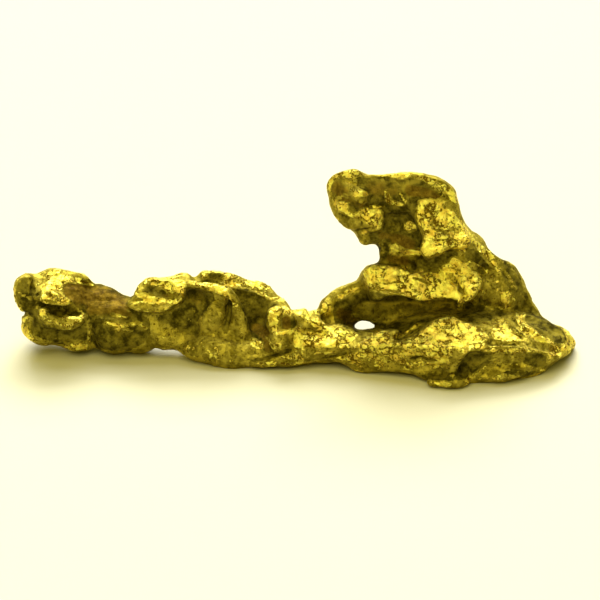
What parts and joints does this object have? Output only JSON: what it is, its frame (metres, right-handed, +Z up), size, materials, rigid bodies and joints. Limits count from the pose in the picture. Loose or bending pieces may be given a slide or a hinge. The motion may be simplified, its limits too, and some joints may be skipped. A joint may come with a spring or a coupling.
{
  "type": "natural gold nugget",
  "caption": "Natural lump of native gold: a folded, knobbed bar that widens to a flat foot with an upright hooked fin, lying on its worn underside.",
  "frame": {"origin": "middle of the footprint, on the floor that the nugget lies on", "axes": "+X along the nugget's length, from the knob towards the foot and fin; +Y away from the show side; +Z up"},
  "size_m": [0.0281, 0.0073, 0.0098],
  "materials": {
    "native_gold": "river-worn native gold: bright on its worn high places, brown and olive stain in its folds"
  },
  "bodies": {
    "root": {"nugget": "native_gold"}
  },
  "joints": []
}
